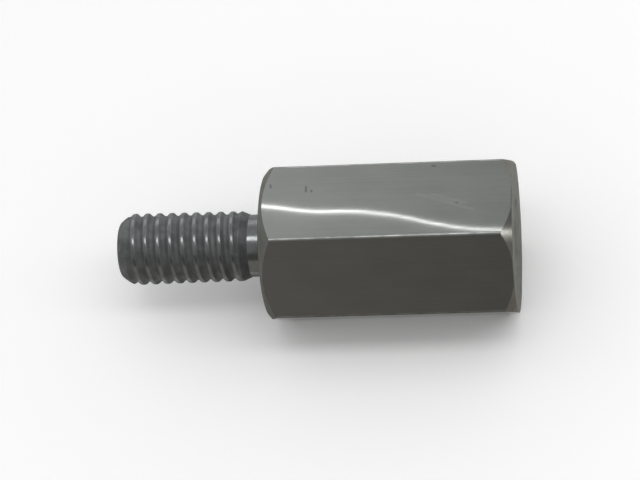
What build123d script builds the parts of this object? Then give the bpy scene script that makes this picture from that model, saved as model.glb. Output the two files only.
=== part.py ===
from build123d import *
from math import cos, radians, tan
import os

# Male-female hex standoff, turned in one piece from drawn hexagonal bar.
# The thread axis is X: the stud points to -X, the tapped end faces +X, and the origin is the
# centre of the shoulder that seats on the panel. +Z is the normal of one flat, so the body lies
# on the flat opposite. Lengths are in millimetres and angles in degrees.

# Hexagonal bar: the distance across its flats, the length of the body and the softened long edges
hex_sides = 6
across_flats = 6.0
body_length = 10.0
bar_edge_radius = 0.08

# Turned end chamfers: the circle that each cone leaves on its end face, as a share of the distance
# across the flats, and the cone's slope. Where the share is above 1, only the corners are cut.
shoulder_circle_share = 0.945
shoulder_chamfer_angle = 40.0
open_end_circle_share = 1.02
open_end_chamfer_angle = 45.0

# Stud: the size over the thread crests, the lead-in cone at its tip and the relieved neck
stud_diameter = 2.95
stud_length = 6.0
stud_tip_taper = 0.4
stud_tip_length = 0.55
neck_depth = 0.22
neck_length = 0.6
neck_run_out = 0.4
neck_root_radius = 0.12

# Blind tapped hole: the drilled wall, the countersunk mouth, the drill point and the solid root
tap_drill_diameter = 2.5
mouth_chamfer = 0.35
drill_point_angle = 118.0
solid_root = 2.25

# How far a turned outline stands clear of the metal that it trims
cut_overrun = 0.5

# Sizes worked out from those above
apothem = across_flats / 2
corner_radius = apothem / cos(radians(180 / hex_sides))
trim_radius = corner_radius + cut_overrun
shoulder_radius = apothem * shoulder_circle_share
open_end_radius = apothem * open_end_circle_share
shoulder_trim_length = (trim_radius - shoulder_radius) * tan(radians(shoulder_chamfer_angle))
open_end_trim_length = (trim_radius - open_end_radius) * tan(radians(open_end_chamfer_angle))

stud_radius = stud_diameter / 2
tip_radius = stud_radius - stud_tip_taper
neck_radius = stud_radius - neck_depth

hole_radius = tap_drill_diameter / 2
mouth_radius = hole_radius + mouth_chamfer
drill_point_length = hole_radius / tan(radians(drill_point_angle / 2))

os.makedirs("parts", exist_ok=True)

with BuildPart() as hex_standoff:
    # The bar lies along X with one flat up and one flat down
    with BuildSketch(Plane.YZ) as bar_section:
        RegularPolygon(apothem, hex_sides, major_radius=False)
        fillet(bar_section.vertices(), bar_edge_radius)
    extrude(amount=body_length)

    # Both ends are faced and chamfered on the lathe, so each cone meets the flats in scallops
    with BuildSketch(Plane.XY):
        with BuildLine():
            Polyline(
                (0, 0),
                (0, shoulder_radius),
                (shoulder_trim_length, trim_radius),
                (body_length - open_end_trim_length, trim_radius),
                (body_length, open_end_radius),
                (body_length, 0),
                close=True,
            )
        make_face()
    revolve(axis=Axis.X, mode=Mode.INTERSECT)

    # The stud runs out into a relieved neck, so that the shoulder can seat flat
    with BuildSketch(Plane.XY):
        with BuildLine():
            Polyline(
                (0, 0),
                (0, neck_radius),
                (-neck_length, neck_radius),
                (-neck_length - neck_run_out, stud_radius),
                (-stud_length + stud_tip_length, stud_radius),
                (-stud_length, tip_radius),
                (-stud_length, 0),
                close=True,
            )
        make_face()
    revolve(axis=Axis.X)

    # The tool's nose leaves a small round where the neck meets the shoulder
    shoulder_circles = hex_standoff.edges().filter_by(GeomType.CIRCLE).filter_by_position(Axis.X, 0, 0)
    fillet(shoulder_circles.sort_by(SortBy.RADIUS)[0], neck_root_radius)

    # The blind hole is drilled, then countersunk at its mouth ahead of the tap
    with BuildSketch(Plane.XY):
        with BuildLine():
            Polyline(
                (solid_root, 0),
                (solid_root + drill_point_length, hole_radius),
                (body_length - mouth_chamfer, hole_radius),
                (body_length, mouth_radius),
                (body_length, 0),
                close=True,
            )
        make_face()
    revolve(axis=Axis.X, mode=Mode.SUBTRACT)

hex_standoff.part.label = "hex_standoff"
export_step(hex_standoff.part, "parts/hex_standoff.step")
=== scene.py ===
import bpy
import math
from mathutils import Matrix, Vector


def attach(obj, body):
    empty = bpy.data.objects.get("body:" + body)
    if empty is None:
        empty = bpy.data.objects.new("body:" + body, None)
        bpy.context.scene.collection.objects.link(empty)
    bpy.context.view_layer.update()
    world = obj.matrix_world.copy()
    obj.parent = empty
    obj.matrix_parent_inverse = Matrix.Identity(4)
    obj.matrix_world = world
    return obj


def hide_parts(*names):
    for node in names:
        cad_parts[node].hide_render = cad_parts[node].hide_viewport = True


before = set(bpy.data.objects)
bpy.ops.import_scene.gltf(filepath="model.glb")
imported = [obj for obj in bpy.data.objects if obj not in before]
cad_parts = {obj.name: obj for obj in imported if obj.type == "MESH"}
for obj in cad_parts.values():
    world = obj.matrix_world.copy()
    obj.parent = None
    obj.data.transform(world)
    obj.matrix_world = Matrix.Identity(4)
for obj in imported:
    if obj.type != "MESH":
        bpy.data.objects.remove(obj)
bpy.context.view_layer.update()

# The body is a length of drawn hexagonal bar, steel under a bright nickel plate.
# The die leaves six smooth flats that are a little wavy and faintly lined lengthwise, and long edges
# that are softly rounded.
MILLIMETRE = 0.001
FULL_TURN = 2.0 * math.pi
hex_sides = 6
apothem = 3.0
body_length = 10.0
bar_edge_radius = 0.13
bar_edge_steps = 6
flat_width_steps = 18
flat_length_steps = 16
half_side = math.pi / hex_sides

# Each outline point holds its angle round the axis, its reach from the axis and the way it faces.
bar_outline = []
edge_centre = (apothem - bar_edge_radius) / math.cos(half_side)
edge_width = bar_edge_radius * math.sin(half_side)
edge_reach = edge_centre + bar_edge_radius * math.cos(half_side)
edge_angle = math.atan2(edge_width, edge_reach)
for side in range(hex_sides):
    corner = 2 * half_side * side
    for step in range(bar_edge_steps + 1):
        lean = half_side * (2 * step / bar_edge_steps - 1)
        out = edge_centre + bar_edge_radius * math.cos(lean)
        across = bar_edge_radius * math.sin(lean)
        bar_outline.append((corner + math.atan2(across, out), math.hypot(out, across), corner + lean))
    for step in range(1, flat_width_steps):
        from_middle = (half_side - edge_angle) * (2 * step / flat_width_steps - 1)
        reach = apothem / math.cos(from_middle)
        bar_outline.append((corner + half_side + from_middle, reach, corner + half_side))


def node(material, kind, settings=None, **sockets):
    """Adds a shader node and fills or links its inputs, each given by name or, as i0, by number."""
    made = material.node_tree.nodes.new(kind)
    for name, value in (settings or {}).items():
        setattr(made, name, value)
    for name, value in sockets.items():
        key = int(name[1:]) if name[1:].isdigit() else name.replace("_", " ")
        socket = made.inputs[key]
        if isinstance(value, bpy.types.NodeSocket):
            material.node_tree.links.new(value, socket)
        else:
            socket.default_value = value
    return made


def math_node(material, operation, first, second=0.0, third=0.0):
    made = node(material, "ShaderNodeMath", {"operation": operation}, i0=first, i1=second, i2=third)
    return made.outputs[0]


def vector_node(material, operation, **sockets):
    return node(material, "ShaderNodeVectorMath", {"operation": operation}, **sockets)


def blend_node(material, share, first, second):
    mix = node(material, "ShaderNodeMix", {"data_type": "RGBA"}, i0=share, i6=first, i7=second)
    return mix.outputs[2]


def range_node(material, value, low, high, to_low=0.0, to_high=1.0, kind="SMOOTHSTEP"):
    made = node(material, "ShaderNodeMapRange", {"interpolation_type": kind}, Value=value)
    made.inputs["From Min"].default_value = low
    made.inputs["From Max"].default_value = high
    made.inputs["To Min"].default_value = to_low
    made.inputs["To Max"].default_value = to_high
    return made.outputs["Result"]


def millimetre_place(material):
    """The place on the part, in millimetres."""
    place = node(material, "ShaderNodeTexCoord").outputs["Object"]
    return vector_node(material, "SCALE", i0=place, Scale=1 / MILLIMETRE).outputs[0]


def split_place(material, place):
    return node(material, "ShaderNodeSeparateXYZ", i0=place).outputs


def noise_node(material, place, stretch, scale, detail):
    stretched = vector_node(material, "MULTIPLY", i0=place, i1=stretch)
    noise = node(material, "ShaderNodeTexNoise", Vector=stretched.outputs[0])
    noise.inputs["Scale"].default_value = scale
    noise.inputs["Detail"].default_value = detail
    return noise.outputs["Fac"]


def cloud_node(material, place, stretch, scale, detail):
    """Soft clouds over the plate, from 0 to 1."""
    clouds = noise_node(material, place, stretch, scale, detail)
    return range_node(material, clouds, noise_low, noise_high)


def stroke_node(material, place, start, end, half_width, soft_edge):
    """A short straight mark on the surface between two places: 1 on the mark and 0 away from it."""
    way = Vector(end) - Vector(start)
    from_start = vector_node(material, "SUBTRACT", i0=place, i1=start).outputs[0]
    along = vector_node(material, "DOT_PRODUCT", i0=from_start, i1=way / way.length_squared)
    kept = node(material, "ShaderNodeClamp", Value=along.outputs["Value"]).outputs[0]
    on_line = vector_node(material, "SCALE", i0=way, Scale=kept).outputs[0]
    gap = vector_node(material, "DISTANCE", i0=from_start, i1=on_line).outputs["Value"]
    return range_node(material, gap, half_width, half_width + soft_edge, 1.0, 0.0)


def plated_material(name):
    """A new metal material with the plate's own tint at grazing angles."""
    made = bpy.data.materials.new(name)
    made.use_nodes = True
    shader = made.node_tree.nodes["Principled BSDF"]
    shader.inputs["Metallic"].default_value = plate_metallic
    shader.inputs["Specular Tint"].default_value = plate_edge_tint
    return made


def feed_shader(material, socket, output):
    shader = material.node_tree.nodes["Principled BSDF"]
    material.node_tree.links.new(output, shader.inputs[socket])


def tone_plate(material, tone, dull, pale, roughness_dull, roughness):
    """Lets a tone from 0 to 1 carry a plate from its dull colour and gloss to its pale ones."""
    feed_shader(material, "Base Color", blend_node(material, tone, dull, pale))
    gloss = range_node(material, tone, 0.0, 1.0, roughness_dull, roughness)
    feed_shader(material, "Roughness", gloss)
    return gloss


plate_metallic = 1.0
plate_edge_tint = (0.5, 0.5, 0.48, 1.0)
plate_pale = (0.432, 0.445, 0.431, 1.0)
plate_dull = (0.292, 0.303, 0.290, 1.0)
plate_fleck = (0.10, 0.105, 0.105, 1.0)
plate_scratch = (0.50, 0.505, 0.495, 1.0)
noise_low = 0.3
noise_high = 0.7
drawing_line_stretch = (0.06, 9.0, 9.0)
drawing_line_scale = 1.6
drawing_line_detail = 5.0
drawing_line_share = 0.12
cloud_stretch = (0.5, 1.0, 1.0)
cloud_scale = 0.9
cloud_detail = 3.0
cloud_share = 0.2
open_end_shade_share = 0.85
flat_roughness = 0.019
flat_roughness_dull = 0.027
bump_strength = 1.0
wave_length = 7.6
wave_start = 4.5
wave_tilt = 0.00108
wave_fade_start = 0.6
wave_fade_end = 3.4
ripple_stretch = (1.0, 1.6, 1.6)
ripple_scale = 0.7
ripple_detail = 1.0
ripple_height = 0.08

# Each mark on the uppermost flat has a start, an end and half of its width.
fleck_strokes = [
    ((1.90, 0.70, apothem), (1.91, 0.50, apothem), 0.014),
    ((2.12, 0.53, apothem), (2.13, 0.49, apothem), 0.010),
    ((0.47, 0.86, apothem), (0.49, 0.74, apothem), 0.010),
    ((6.88, 1.52, apothem), (6.98, 1.50, apothem), 0.012),
    ((7.85, -0.26, apothem), (7.88, -0.28, apothem), 0.006),
]
scratch_strokes = [
    ((6.34, 0.20, apothem), (8.51, -0.60, apothem), 0.010),
    ((6.90, 0.16, apothem), (8.20, -0.28, apothem), 0.006),
]
fleck_soft_edge = 0.06
fleck_share = 0.5
scratch_soft_edge = 0.12
scratch_share = 0.2

drawn_plate = plated_material("drawn_plate")
drawn_place = millimetre_place(drawn_plate)
drawn_xyz = split_place(drawn_plate, drawn_place)
line_tone = cloud_node(drawn_plate, drawn_place, drawing_line_stretch, drawing_line_scale,
                       drawing_line_detail)
cloud_tone = cloud_node(drawn_plate, drawn_place, cloud_stretch, cloud_scale, cloud_detail)
# Painted shade: the flats' colour is painted darker towards the open end.
open_end_shade = range_node(drawn_plate, drawn_xyz[0], 0.0, body_length, open_end_shade_share, 0.0, "LINEAR")
cloud_and_shade_tone = math_node(drawn_plate, "MULTIPLY_ADD", cloud_tone, cloud_share, open_end_shade)
flat_tone = math_node(drawn_plate, "MULTIPLY_ADD", line_tone, drawing_line_share, cloud_and_shade_tone)
drawn_colour = blend_node(drawn_plate, flat_tone, plate_dull, plate_pale)
plate_marks = [
    (scratch_strokes, scratch_soft_edge, scratch_share, plate_scratch),
    (fleck_strokes, fleck_soft_edge, fleck_share, plate_fleck),
]
for strokes, soft_edge, share, mark_colour in plate_marks:
    for start, end, half_width in strokes:
        stroke = stroke_node(drawn_plate, drawn_place, start, end, half_width, soft_edge)
        faint_stroke = math_node(drawn_plate, "MULTIPLY", stroke, share)
        drawn_colour = blend_node(drawn_plate, faint_stroke, drawn_colour, mark_colour)
feed_shader(drawn_plate, "Base Color", drawn_colour)
drawn_gloss = range_node(drawn_plate, line_tone, 0.0, 1.0, flat_roughness_dull, flat_roughness)
feed_shader(drawn_plate, "Roughness", drawn_gloss)
wave_turn = math_node(drawn_plate, "MULTIPLY_ADD", drawn_xyz[0], FULL_TURN / wave_length,
                      -FULL_TURN * wave_start / wave_length)
wave_fade = range_node(drawn_plate, drawn_xyz[0], wave_fade_start, wave_fade_end)
wave_swing = math_node(drawn_plate, "MULTIPLY", math_node(drawn_plate, "COSINE", wave_turn), wave_fade)
wave_lean = math_node(drawn_plate, "MULTIPLY", wave_swing, drawn_xyz[1])
ripples = noise_node(drawn_plate, drawn_place, ripple_stretch, ripple_scale, ripple_detail)
wave_height = math_node(drawn_plate, "MULTIPLY_ADD", ripples, ripple_height, wave_lean)
wave_bump = node(drawn_plate, "ShaderNodeBump", Height=wave_height, Strength=bump_strength,
                 Distance=wave_tilt * MILLIMETRE)
feed_shader(drawn_plate, "Normal", wave_bump.outputs[0])

# The bar's long edges are the rounded corners that the die leaves, in the same nickel plate.
# Handling has rubbed the plate there, so they are duller than the flats, in soft clouds along the bar.
edge_roughness = 0.30
edge_roughness_dull = 0.42
edge_stretch = (1.0, 0.2, 0.2)
edge_cloud_scale = 1.5

edge_plate = plated_material("edge_plate")
edge_place = millimetre_place(edge_plate)
edge_tone = cloud_node(edge_plate, edge_place, edge_stretch, edge_cloud_scale, cloud_detail)
tone_plate(edge_plate, edge_tone, plate_dull, plate_pale, edge_roughness_dull, edge_roughness)

# Both ends of the body are faced and chamfered on the lathe, under the same plate.
# The shoulder's cone runs right round and meets the flats in scallops; at the open end only the six
# corners are cut. Every cut edge is broken by a hair's width.
shoulder_radius = 2.835
shoulder_slope = math.radians(40.0)
open_end_radius = 3.06
edge_break = 0.03
edge_break_along = edge_break * math.sin(shoulder_slope)
edge_break_out = edge_break * math.cos(shoulder_slope)


def level_ring(along, radius):
    return [(along, radius)] * len(bar_outline)


def shoulder_cone(radius):
    return (radius - shoulder_radius) * math.tan(shoulder_slope)


def bar_ring(share):
    """A ring round the flats, at a share of the way from one scalloped edge to the other."""
    ring = []
    for angle, reach, facing in bar_outline:
        start = shoulder_cone(reach) + edge_break
        end = body_length - max(reach - open_end_radius, 0.0) - edge_break
        ring.append((start + share * (end - start), reach))
    return ring


shoulder_rings = [level_ring(0.0, shoulder_radius - edge_break)]
shoulder_rings.append(level_ring(edge_break_along, shoulder_radius + edge_break_out))
shoulder_rings.append([(shoulder_cone(reach - edge_break_out), reach - edge_break_out)
                       for angle, reach, facing in bar_outline])
flat_rings = [bar_ring(step / flat_length_steps) for step in range(flat_length_steps + 1)]
open_end_rings = [[(body_length, min(reach, open_end_radius) - edge_break)
                   for angle, reach, facing in bar_outline]]

# Painted shade: the turned faces' plate colour is painted darker than the flats'.
turned_shaded_pale = (0.246, 0.246, 0.229, 1.0)
turned_shaded_dull = (0.188, 0.188, 0.173, 1.0)
turned_roughness = 0.44
turned_roughness_dull = 0.54
tool_mark_scale = 9.0
tool_mark_detail = 4.0
tool_mark_share = 0.5
tool_mark_height = 0.002
turned_cloud_scale = 1.4
even_stretch = (1.0, 1.0, 1.0)


def axis_distance(material, xyz):
    height_square = math_node(material, "MULTIPLY", xyz[2], xyz[2])
    square = math_node(material, "MULTIPLY_ADD", xyz[1], xyz[1], height_square)
    return math_node(material, "SQRT", square)


turned_plate = plated_material("turned_plate")
turned_place = millimetre_place(turned_plate)
turned_xyz = split_place(turned_plate, turned_place)
tool_travel = math_node(turned_plate, "ADD", turned_xyz[0], axis_distance(turned_plate, turned_xyz))
tool_path = node(turned_plate, "ShaderNodeCombineXYZ", i0=tool_travel).outputs[0]
tool_marks = noise_node(turned_plate, tool_path, even_stretch, tool_mark_scale, tool_mark_detail)
turned_clouds = noise_node(turned_plate, turned_place, even_stretch, turned_cloud_scale, cloud_detail)
faint_clouds = math_node(turned_plate, "MULTIPLY", turned_clouds, 1.0 - tool_mark_share)
turned_mix = math_node(turned_plate, "MULTIPLY_ADD", tool_marks, tool_mark_share, faint_clouds)
turned_tone = range_node(turned_plate, turned_mix, noise_low, noise_high)
tone_plate(turned_plate, turned_tone, turned_shaded_dull, turned_shaded_pale, turned_roughness_dull, turned_roughness)
tool_bump = node(turned_plate, "ShaderNodeBump", Height=tool_marks, Strength=bump_strength,
                 Distance=tool_mark_height * MILLIMETRE)
feed_shader(turned_plate, "Normal", tool_bump.outputs[0])

# The six corners at the open end are small cuts across the bar's long edges, in the same plate.
# The tool takes little metal there, so they come out smoother and catch brighter highlights than the
# faces round them. Their plate colour is painted darker than the flats', as painted shade.
corner_shaded_pale = (0.250, 0.248, 0.230, 1.0)
corner_shaded_dull = (0.190, 0.188, 0.172, 1.0)
corner_roughness = 0.15
corner_roughness_dull = 0.22

corner_plate = plated_material("corner_plate")
corner_place = millimetre_place(corner_plate)
corner_tone = cloud_node(corner_plate, corner_place, even_stretch, turned_cloud_scale, cloud_detail)
tone_plate(corner_plate, corner_tone, corner_shaded_dull, corner_shaded_pale, corner_roughness_dull, corner_roughness)

# The neck is the stud's root, turned down below the thread so that the shoulder can seat flat.
# It is the same plated steel, left smooth by the tool, with a small round where it meets the shoulder.
neck_radius = 1.255
neck_length = 0.68
neck_root_radius = 0.12
neck_root_steps = 5
neck_rings = [level_ring(-neck_length, neck_radius)]
for step in range(neck_root_steps + 1):
    lean = 0.5 * math.pi * step / neck_root_steps
    neck_rings.append(level_ring(-neck_root_radius * (1.0 - math.sin(lean)),
                                 neck_radius + neck_root_radius * (1.0 - math.cos(lean))))

# Painted shade: the stud's and neck's plate colour is painted darker than the flats'.
stud_shaded_pale = (0.252, 0.265, 0.265, 1.0)
stud_shaded_dull = (0.194, 0.206, 0.208, 1.0)
stud_cloud_scale = 2.2
stud_cloud_detail = 4.0
neck_roughness = 0.16
neck_roughness_dull = 0.24

neck_plate = plated_material("neck_plate")
neck_place = millimetre_place(neck_plate)
neck_tone = cloud_node(neck_plate, neck_place, even_stretch, stud_cloud_scale, stud_cloud_detail)
tone_plate(neck_plate, neck_tone, stud_shaded_dull, stud_shaded_pale, neck_roughness_dull, neck_roughness)

# The stud is turned down from the same bar and carries a right-hand M3 x 0.5 thread with a rounded
# lead-in. The crests are softly rounded and bright where they rub, the flanks are rough and dull, and
# the thread runs out into the neck. Its plate colour is painted darker than the flats', as painted
# shade.
stud_length = 6.0
stud_radius = 1.475
stud_tip_radius = 1.075
stud_tip_length = 0.8
neck_run_out = 0.5
pitch = 0.5
thread_depth = 0.125
crest_half_width = 0.03
root_half_width = 0.02
thread_start = 0.897
thread_stop_full = -1.25
thread_stop_none = -1.0
crest_round = 0.02
crest_loss = 0.05
stations_per_pitch = 20


def thread_share(along, angle):
    """How much of the thread's depth stands at a place: 1 on the crest and 0 in the root."""
    turn = (along / pitch - angle / FULL_TURN + thread_start) % 1.0
    from_crest = pitch * min(turn, 1.0 - turn)
    flank = pitch / 2 - crest_half_width - root_half_width
    down_flank = min(max((from_crest - crest_half_width) / flank, 0.0), 1.0)
    return 0.5 + 0.5 * math.cos(math.pi * down_flank)


def stud_ring(along):
    """A ring round the stud, under the lead-in at its tip and the run-out at its neck."""
    fade = min(max((along - thread_stop_none) / (thread_stop_full - thread_stop_none), 0.0), 1.0)
    tip_share = min((along + stud_length) / stud_tip_length, 1.0)
    lead_in = stud_radius - (stud_radius - stud_tip_radius) * (1.0 - tip_share) ** 2
    run_out = neck_radius + max(-neck_length - along, 0.0) * (stud_radius - neck_radius) / neck_run_out
    crest_radius = stud_radius - crest_round - crest_loss * (1.0 + along / stud_length)
    ring = []
    for angle, reach, facing in bar_outline:
        threaded = crest_radius - thread_depth * fade * (1.0 - thread_share(along, angle))
        ring.append((along, min(threaded, lead_in, run_out)))
    return ring


stud_rings = [level_ring(-stud_length, stud_tip_radius - edge_break)]
stud_station = -stud_length + edge_break
station_step = pitch / stations_per_pitch
while stud_station < -neck_length - station_step:
    stud_rings.append(stud_ring(stud_station))
    stud_station += station_step

thread_roughness = 0.70
thread_roughness_dull = 0.80
crest_shine_low = 1.388
crest_shine_high = 1.404
crest_roughness = 0.22

thread_plate = plated_material("thread_plate")
thread_place = millimetre_place(thread_plate)
thread_tone = cloud_node(thread_plate, thread_place, even_stretch, stud_cloud_scale, stud_cloud_detail)
flank_gloss = tone_plate(thread_plate, thread_tone, stud_shaded_dull, stud_shaded_pale, thread_roughness_dull,
                         thread_roughness)
thread_xyz = split_place(thread_plate, thread_place)
from_axis = axis_distance(thread_plate, thread_xyz)
crest_fall = crest_loss / stud_length
crest_height = math_node(thread_plate, "MULTIPLY_ADD", thread_xyz[0], crest_fall, from_axis)
crest_shine = range_node(thread_plate, crest_height, crest_shine_low, crest_shine_high)
thread_gloss = node(thread_plate, "ShaderNodeMix", i0=crest_shine, i2=flank_gloss, i3=crest_roughness)
feed_shader(thread_plate, "Roughness", thread_gloss.outputs[0])

# The other end has a blind hole: drilled, countersunk at its mouth, and tapped with the same thread.
# The tap stops short of the drill's point, so the last of the wall is plain.
hole_radius = 1.25
mouth_chamfer = 0.35
mouth_radius = hole_radius + mouth_chamfer
tap_depth = 0.22
tap_stations_per_pitch = 14
tap_stop_full = 4.4
tap_stop_none = 3.9
drill_point = 2.25
drill_point_half_angle = math.radians(59.0)
drill_wall_end = drill_point + hole_radius / math.tan(drill_point_half_angle)


def hole_ring(along):
    """A ring round the hole's wall, opened by the tap and by the countersunk mouth."""
    fade = min(max((along - tap_stop_none) / (tap_stop_full - tap_stop_none), 0.0), 1.0)
    mouth = hole_radius + max(along - (body_length - mouth_chamfer), 0.0)
    ring = []
    for angle, reach, facing in bar_outline:
        tapped = hole_radius + tap_depth * fade * thread_share(along, angle)
        ring.append((along, max(tapped, mouth)))
    return ring


hole_rings = [level_ring(body_length, mouth_radius + edge_break)]
hole_station = body_length - edge_break
hole_step = pitch / tap_stations_per_pitch
mouth_steps = int(mouth_chamfer / hole_step)
while hole_station > tap_stop_none:
    hole_rings.append(hole_ring(hole_station))
    hole_station -= hole_step
hole_rings.append(level_ring(tap_stop_none, hole_radius))
hole_rings.append(level_ring(drill_wall_end, hole_radius))

# The whole part is one piece of metal, so the stud, the body and the hole are one closed skin.
# It stands for the plain solid and adds the thread, the broken edges and the plate's own marks.
# Each strip between two rings has a finish, and is shaded as a flat of the bar, as a cone or smoothly.
finishes = [drawn_plate, turned_plate, thread_plate, neck_plate, edge_plate, corner_plate]
DRAWN, TURNED, THREADED, NECK, EDGE, CORNER = range(len(finishes))
ring_groups = [
    (stud_rings, THREADED, "smooth"),
    (neck_rings, NECK, "smooth"),
    (shoulder_rings, TURNED, "cone"),
    (flat_rings, DRAWN, "flat"),
    (open_end_rings, TURNED, "cone"),
    (hole_rings, THREADED, "smooth"),
]
rings = []
strips = []
for group, finish, shading in ring_groups:
    for ring in group:
        rings.append(ring)
        strips.append((finish, shading))
first_neck = len(stud_rings)
first_shoulder = first_neck + len(neck_rings)
first_hole = len(rings) - len(hole_rings)
last_flat = first_hole - len(open_end_rings) - 1
strips[0] = (TURNED, "cone")
strips[first_neck] = (NECK, "cone")
strips[first_shoulder - 1] = (TURNED, "cone")
strips[last_flat] = (CORNER, "cone")
for step in range(mouth_steps):
    strips[first_hole + step] = (TURNED, "smooth")

points_round = len(bar_outline)
points_a_side = points_round // hex_sides
ring_turns = [(math.cos(angle), math.sin(angle)) for angle, reach, facing in bar_outline]
flat_normals = [Vector((0.0, math.cos(facing), math.sin(facing)))
                for angle, reach, facing in bar_outline]
auto_normal = Vector((0.0, 0.0, 0.0))
tip_normal = Vector((-1.0, 0.0, 0.0))
skin_points = [(-stud_length * MILLIMETRE, 0.0, 0.0)]
for ring in rings:
    for (along, radius), (out_y, out_z) in zip(ring, ring_turns):
        across = radius * out_y * MILLIMETRE
        up = radius * out_z * MILLIMETRE
        skin_points.append((along * MILLIMETRE, across, up))
skin_points.append((drill_point * MILLIMETRE, 0.0, 0.0))


def strip_normal(index, turn, shading):
    """The way the metal faces on one strip at one point of the outline."""
    if shading == "flat":
        return flat_normals[turn]
    if shading == "smooth":
        return auto_normal
    along_run = rings[index + 1][turn][0] - rings[index][turn][0]
    outward_run = rings[index + 1][turn][1] - rings[index][turn][1]
    out_y, out_z = ring_turns[turn]
    return Vector((-outward_run, along_run * out_y, along_run * out_z)).normalized()


skin_faces = []
skin_finishes = []
skin_normals = []
for turn in range(points_round):
    after = (turn + 1) % points_round
    skin_faces.append((0, 1 + after, 1 + turn))
    skin_finishes.append(TURNED)
    skin_normals += [tip_normal, tip_normal, tip_normal]
for index in range(len(rings) - 1):
    here = 1 + index * points_round
    there = here + points_round
    finish, shading = strips[index]
    for turn in range(points_round):
        after = (turn + 1) % points_round
        skin_faces.append((here + turn, here + after, there + after, there + turn))
        on_edge = finish == DRAWN and turn % points_a_side < bar_edge_steps
        skin_finishes.append(EDGE if on_edge else finish)
        skin_normals += [strip_normal(index, place, shading) for place in (turn, after, after, turn)]
last_ring = 1 + (len(rings) - 1) * points_round
for turn in range(points_round):
    after = (turn + 1) % points_round
    skin_faces.append((last_ring + turn, last_ring + after, len(skin_points) - 1))
    skin_finishes.append(THREADED)
    skin_normals += [auto_normal, auto_normal, auto_normal]

skin_mesh = bpy.data.meshes.new("standoff_skin")
skin_mesh.from_pydata(skin_points, [], skin_faces)
for material in finishes:
    skin_mesh.materials.append(material)
skin_mesh.polygons.foreach_set("material_index", skin_finishes)
skin_mesh.polygons.foreach_set("use_smooth", [True] * len(skin_faces))
skin_mesh.normals_split_custom_set(skin_normals)
standoff = bpy.data.objects.new("plated_standoff", skin_mesh)
bpy.context.scene.collection.objects.link(standoff)
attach(standoff, "root")
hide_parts("hex_standoff")

# The floor is a plain white bench top under the lowest flat, painted dead matt.
# Its white is made up to full for the eye and for reflections, except where the part stands close
# over it.
floor_height = -apothem
floor_half_width = 400.0
floor_white = (0.83, 0.83, 0.83, 1.0)
floor_roughness = 1.0
floor_gloss = 0.0
floor_glow_white = (1.0, 1.0, 1.0, 1.0)
floor_glow = 0.42
floor_shade_reach = 12.0

floor_mesh = bpy.data.meshes.new("bench_top")
floor_corners = [
    (-floor_half_width, -floor_half_width),
    (floor_half_width, -floor_half_width),
    (floor_half_width, floor_half_width),
    (-floor_half_width, floor_half_width),
]
floor_points = [Vector((x, y, floor_height)) * MILLIMETRE for x, y in floor_corners]
floor_mesh.from_pydata(floor_points, [], [(0, 1, 2, 3)])
floor = bpy.data.objects.new("bench_top", floor_mesh)
bpy.context.scene.collection.objects.link(floor)
floor_paint = bpy.data.materials.new("bench_white")
floor_paint.use_nodes = True
floor_shader = floor_paint.node_tree.nodes["Principled BSDF"]
floor_shader.inputs["Base Color"].default_value = floor_white
floor_shader.inputs["Roughness"].default_value = floor_roughness
floor_shader.inputs["Specular IOR Level"].default_value = floor_gloss
floor_shader.inputs["Emission Color"].default_value = floor_glow_white
light_path = node(floor_paint, "ShaderNodeLightPath").outputs
eye_ray = light_path["Is Camera Ray"]
mirror_ray = math_node(floor_paint, "MAXIMUM", eye_ray, light_path["Is Glossy Ray"])
seen_ray = math_node(floor_paint, "MAXIMUM", mirror_ray, light_path["Is Transmission Ray"])
floor_shade = node(floor_paint, "ShaderNodeAmbientOcclusion", Distance=floor_shade_reach * MILLIMETRE)
floor_level = math_node(floor_paint, "MULTIPLY", floor_shade.outputs["AO"], floor_glow)
floor_strength = math_node(floor_paint, "MULTIPLY", seen_ray, floor_level)
feed_shader(floor_paint, "Emission Strength", floor_strength)
floor_mesh.materials.append(floor_paint)

# The room is an even pale grey that fills in the light from all round the part.
# It is lighter behind the part and to its left than in front.
room_dim = (0.30, 0.30, 0.30, 1.0)
room_light_grey = (0.62, 0.62, 0.62, 1.0)
room_light_way = (-0.6, 0.75, 0.25)
room_lean_low = -0.6
room_lean_high = 1.0

room = bpy.data.worlds.new("room")
bpy.context.scene.world = room
room.use_nodes = True
room_light = room.node_tree.nodes["Background"]
room_way = node(room, "ShaderNodeTexCoord").outputs["Generated"]
room_lean = vector_node(room, "DOT_PRODUCT", i0=room_way, i1=room_light_way).outputs["Value"]
room_share = range_node(room, room_lean, room_lean_low, room_lean_high, kind="LINEAR")
room_colour = blend_node(room, room_share, room_dim, room_light_grey)
room.node_tree.links.new(room_colour, room_light.inputs["Color"])

# A long soft lamp hangs overhead, off to the right and a little to the near side of the part.
# It is an even panel that lights the floor and the metal and gives the part its soft shadow, and the
# camera doesn't see it.
lamp_place = Vector((150.0, -20.0, 170.0)) * MILLIMETRE
lamp_aim = Vector((150.0, 0.0, 0.0)) * MILLIMETRE
lamp_length = 400.0
lamp_width = 42.0
lamp_power = 0.148

lamp_data = bpy.data.lights.new("overhead_lamp", "AREA")
lamp_data.shape = "RECTANGLE"
lamp_data.size = lamp_length * MILLIMETRE
lamp_data.size_y = lamp_width * MILLIMETRE
lamp_data.energy = lamp_power
lamp = bpy.data.objects.new("overhead_lamp", lamp_data)
lamp.location = lamp_place
lamp.rotation_euler = (lamp_aim - lamp_place).to_track_quat("-Z", "Y").to_euler()
lamp.visible_camera = False
bpy.context.scene.collection.objects.link(lamp)

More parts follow.
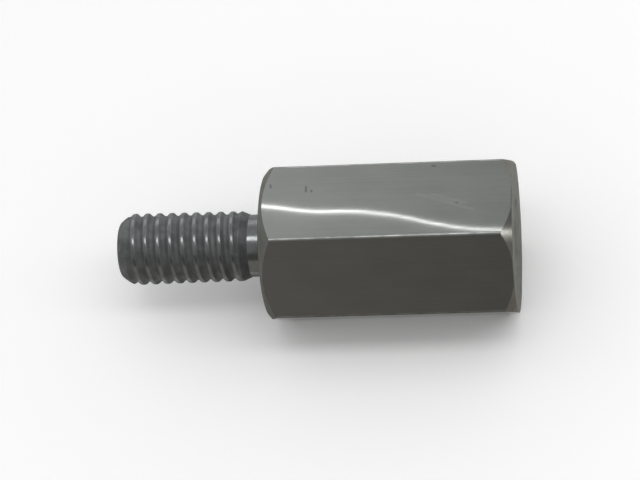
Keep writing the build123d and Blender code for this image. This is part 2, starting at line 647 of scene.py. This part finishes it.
# A thin strip lamp hangs behind the part, with one sharp edge and one that fades away.
# The top flat mirrors it as a light line. Like the cards after it, it is a sheet that only reflections
# see, so that it throws no shadow and the camera never shows it.
strip_height = 153.0
strip_left = -170.0
strip_right = 150.0
strip_fall = -0.147
strip_edge_at_middle = 97.80
strip_core_width = 0.24
strip_core_soft = 0.15
strip_width = 9.0
strip_core_strength = 3.2
strip_tail_strength = 0.14
strip_tail_reach = 1.2


def stage_card(name, corners):
    """A card of four corners that only reflections see, with an empty material to fill."""
    mesh = bpy.data.meshes.new(name)
    mesh.from_pydata([Vector(corner) * MILLIMETRE for corner in corners], [], [(0, 1, 2, 3)])
    card = bpy.data.objects.new(name, mesh)
    bpy.context.scene.collection.objects.link(card)
    paint = bpy.data.materials.new(name)
    paint.use_nodes = True
    paint.node_tree.nodes.remove(paint.node_tree.nodes["Principled BSDF"])
    mesh.materials.append(paint)
    card.visible_camera = False
    card.visible_shadow = False
    card.visible_diffuse = False
    return paint


def paint_card(paint, shader):
    card_output = paint.node_tree.nodes["Material Output"]
    paint.node_tree.links.new(shader.outputs[0], card_output.inputs["Surface"])


def strip_edge(along):
    return strip_edge_at_middle + strip_fall * along


strip_paint = stage_card("strip_lamp", [
    (strip_left, strip_edge(strip_left) - strip_width, strip_height),
    (strip_right, strip_edge(strip_right) - strip_width, strip_height),
    (strip_right, strip_edge(strip_right), strip_height),
    (strip_left, strip_edge(strip_left), strip_height),
])
strip_xyz = split_place(strip_paint, millimetre_place(strip_paint))
strip_line = math_node(strip_paint, "MULTIPLY_ADD", strip_xyz[0], strip_fall, strip_edge_at_middle)
strip_depth = math_node(strip_paint, "SUBTRACT", strip_line, strip_xyz[1])
strip_core = range_node(strip_paint, strip_depth, strip_core_width, strip_core_width + strip_core_soft,
                        strip_core_strength, 0.0)
strip_tail = math_node(strip_paint, "MULTIPLY", strip_depth, -1.0 / strip_tail_reach)
strip_decay = math_node(strip_paint, "EXPONENT", strip_tail)
strip_level = math_node(strip_paint, "MULTIPLY_ADD", strip_decay, strip_tail_strength, strip_core)
strip_glow = node(strip_paint, "ShaderNodeEmission", Strength=strip_level)
strip_clear = node(strip_paint, "ShaderNodeBsdfTransparent")
strip_shader = node(strip_paint, "ShaderNodeAddShader", i0=strip_glow.outputs[0],
                    i1=strip_clear.outputs[0])
paint_card(strip_paint, strip_shader)

# A dark card stands in front of the part, and three strips of felt lie between the two, on the floor.
# The near flats mirror them and look dark. The felt is darkest before the body, and paler before the
# stud and past the open end.
dark_card_half_width = 250.0
dark_card_place = -150.0
dark_card_foot = -2.5
dark_card_top = 80.0
dark_card_colour = (1.0, 0.942, 0.874, 1.0)
dark_card_left = -20.0
dark_card_left_level = 0.165
dark_card_right = 25.0
dark_card_right_level = 0.194
felt_shoulder_split = -0.5
felt_end_split = 10.3
felt_near_edge = -3.0
felt_height = -2.9
stud_felt_level = 0.43
body_felt_level = 0.185
end_felt_level = 0.5


def upright_card(name, half_width, place, foot, top):
    return stage_card(name, [
        (-half_width, place, foot),
        (half_width, place, foot),
        (half_width, place, top),
        (-half_width, place, top),
    ])


dark_paint = upright_card("dark_card", dark_card_half_width, dark_card_place, dark_card_foot,
                          dark_card_top)
dark_xyz = split_place(dark_paint, millimetre_place(dark_paint))
dark_level = range_node(dark_paint, dark_xyz[0], dark_card_left, dark_card_right, dark_card_left_level,
                        dark_card_right_level, "LINEAR")
dark_glow = node(dark_paint, "ShaderNodeEmission", Color=dark_card_colour, Strength=dark_level)
paint_card(dark_paint, dark_glow)
felt_strips = [
    ("stud_felt", -dark_card_half_width, felt_shoulder_split, stud_felt_level),
    ("body_felt", felt_shoulder_split, felt_end_split, body_felt_level),
    ("end_felt", felt_end_split, dark_card_half_width, end_felt_level),
]
for felt_name, felt_left, felt_right, felt_level in felt_strips:
    felt_paint = stage_card(felt_name, [
        (felt_left, dark_card_place, felt_height),
        (felt_right, dark_card_place, felt_height),
        (felt_right, felt_near_edge, felt_height),
        (felt_left, felt_near_edge, felt_height),
    ])
    felt_glow = node(felt_paint, "ShaderNodeEmission", Color=dark_card_colour, Strength=felt_level)
    paint_card(felt_paint, felt_glow)

# A pale wall stands well behind the part, and a slim bright card well past its open end.
# The rounded forms, such as the stud and the softened edges, mirror the wall, and the cut corners at the
# open end mirror the card.
wall_half_width = 300.0
wall_place = 200.0
wall_foot = 40.0
wall_top = 170.0
wall_level = 1.15
slim_place = 220.0
slim_middle = 2.0
slim_half_width = 5.0
slim_foot = 2.0
slim_top = 45.0
slim_level = 5.5

wall_paint = upright_card("back_wall", wall_half_width, wall_place, wall_foot, wall_top)
wall_glow = node(wall_paint, "ShaderNodeEmission", Strength=wall_level)
paint_card(wall_paint, wall_glow)
slim_paint = stage_card("slim_card", [
    (slim_place, slim_middle - slim_half_width, slim_foot),
    (slim_place, slim_middle + slim_half_width, slim_foot),
    (slim_place, slim_middle + slim_half_width, slim_top),
    (slim_place, slim_middle - slim_half_width, slim_top),
])
slim_glow = node(slim_paint, "ShaderNodeEmission", Strength=slim_level)
paint_card(slim_paint, slim_glow)

# The camera stands above the near side, a little towards the tapped end.
# It has a long lens, so the bar's long edges run almost level, and it is turned so that the shoulder
# comes a little left of the middle of the picture.
camera_rise = math.radians(56.57)
camera_swing = math.radians(7.88)
camera_roll = math.radians(1.825)
camera_distance = 105.17
shoulder_left_of_centre = 2.071
shoulder_below_centre = 0.211
camera_lens = 146.9
near_limit = 1.0
far_limit = 3000.0
axis_way = Vector((1.0, 0.0, 0.0))
level_up = Vector((0.0, math.sin(camera_rise), math.cos(camera_rise)))
level_back = Vector((0.0, -math.cos(camera_rise), math.sin(camera_rise)))
swung_right = math.cos(camera_swing) * axis_way - math.sin(camera_swing) * level_back
camera_back = math.sin(camera_swing) * axis_way + math.cos(camera_swing) * level_back
camera_right = math.cos(camera_roll) * swung_right - math.sin(camera_roll) * level_up
camera_up = math.sin(camera_roll) * swung_right + math.cos(camera_roll) * level_up
camera_place = (camera_back * camera_distance + camera_right * shoulder_left_of_centre
                + camera_up * shoulder_below_centre) * MILLIMETRE
camera_data = bpy.data.cameras.new("camera")
camera_data.lens = camera_lens
camera_data.clip_start = near_limit * MILLIMETRE
camera_data.clip_end = far_limit * MILLIMETRE
camera = bpy.data.objects.new("camera", camera_data)
camera.matrix_world = Matrix((
    (camera_right.x, camera_up.x, camera_back.x, camera_place.x),
    (camera_right.y, camera_up.y, camera_back.y, camera_place.y),
    (camera_right.z, camera_up.z, camera_back.z, camera_place.z),
    (0.0, 0.0, 0.0, 1.0),
))
bpy.context.scene.collection.objects.link(camera)
bpy.context.scene.camera = camera
bpy.context.scene.view_settings.view_transform = "Standard"
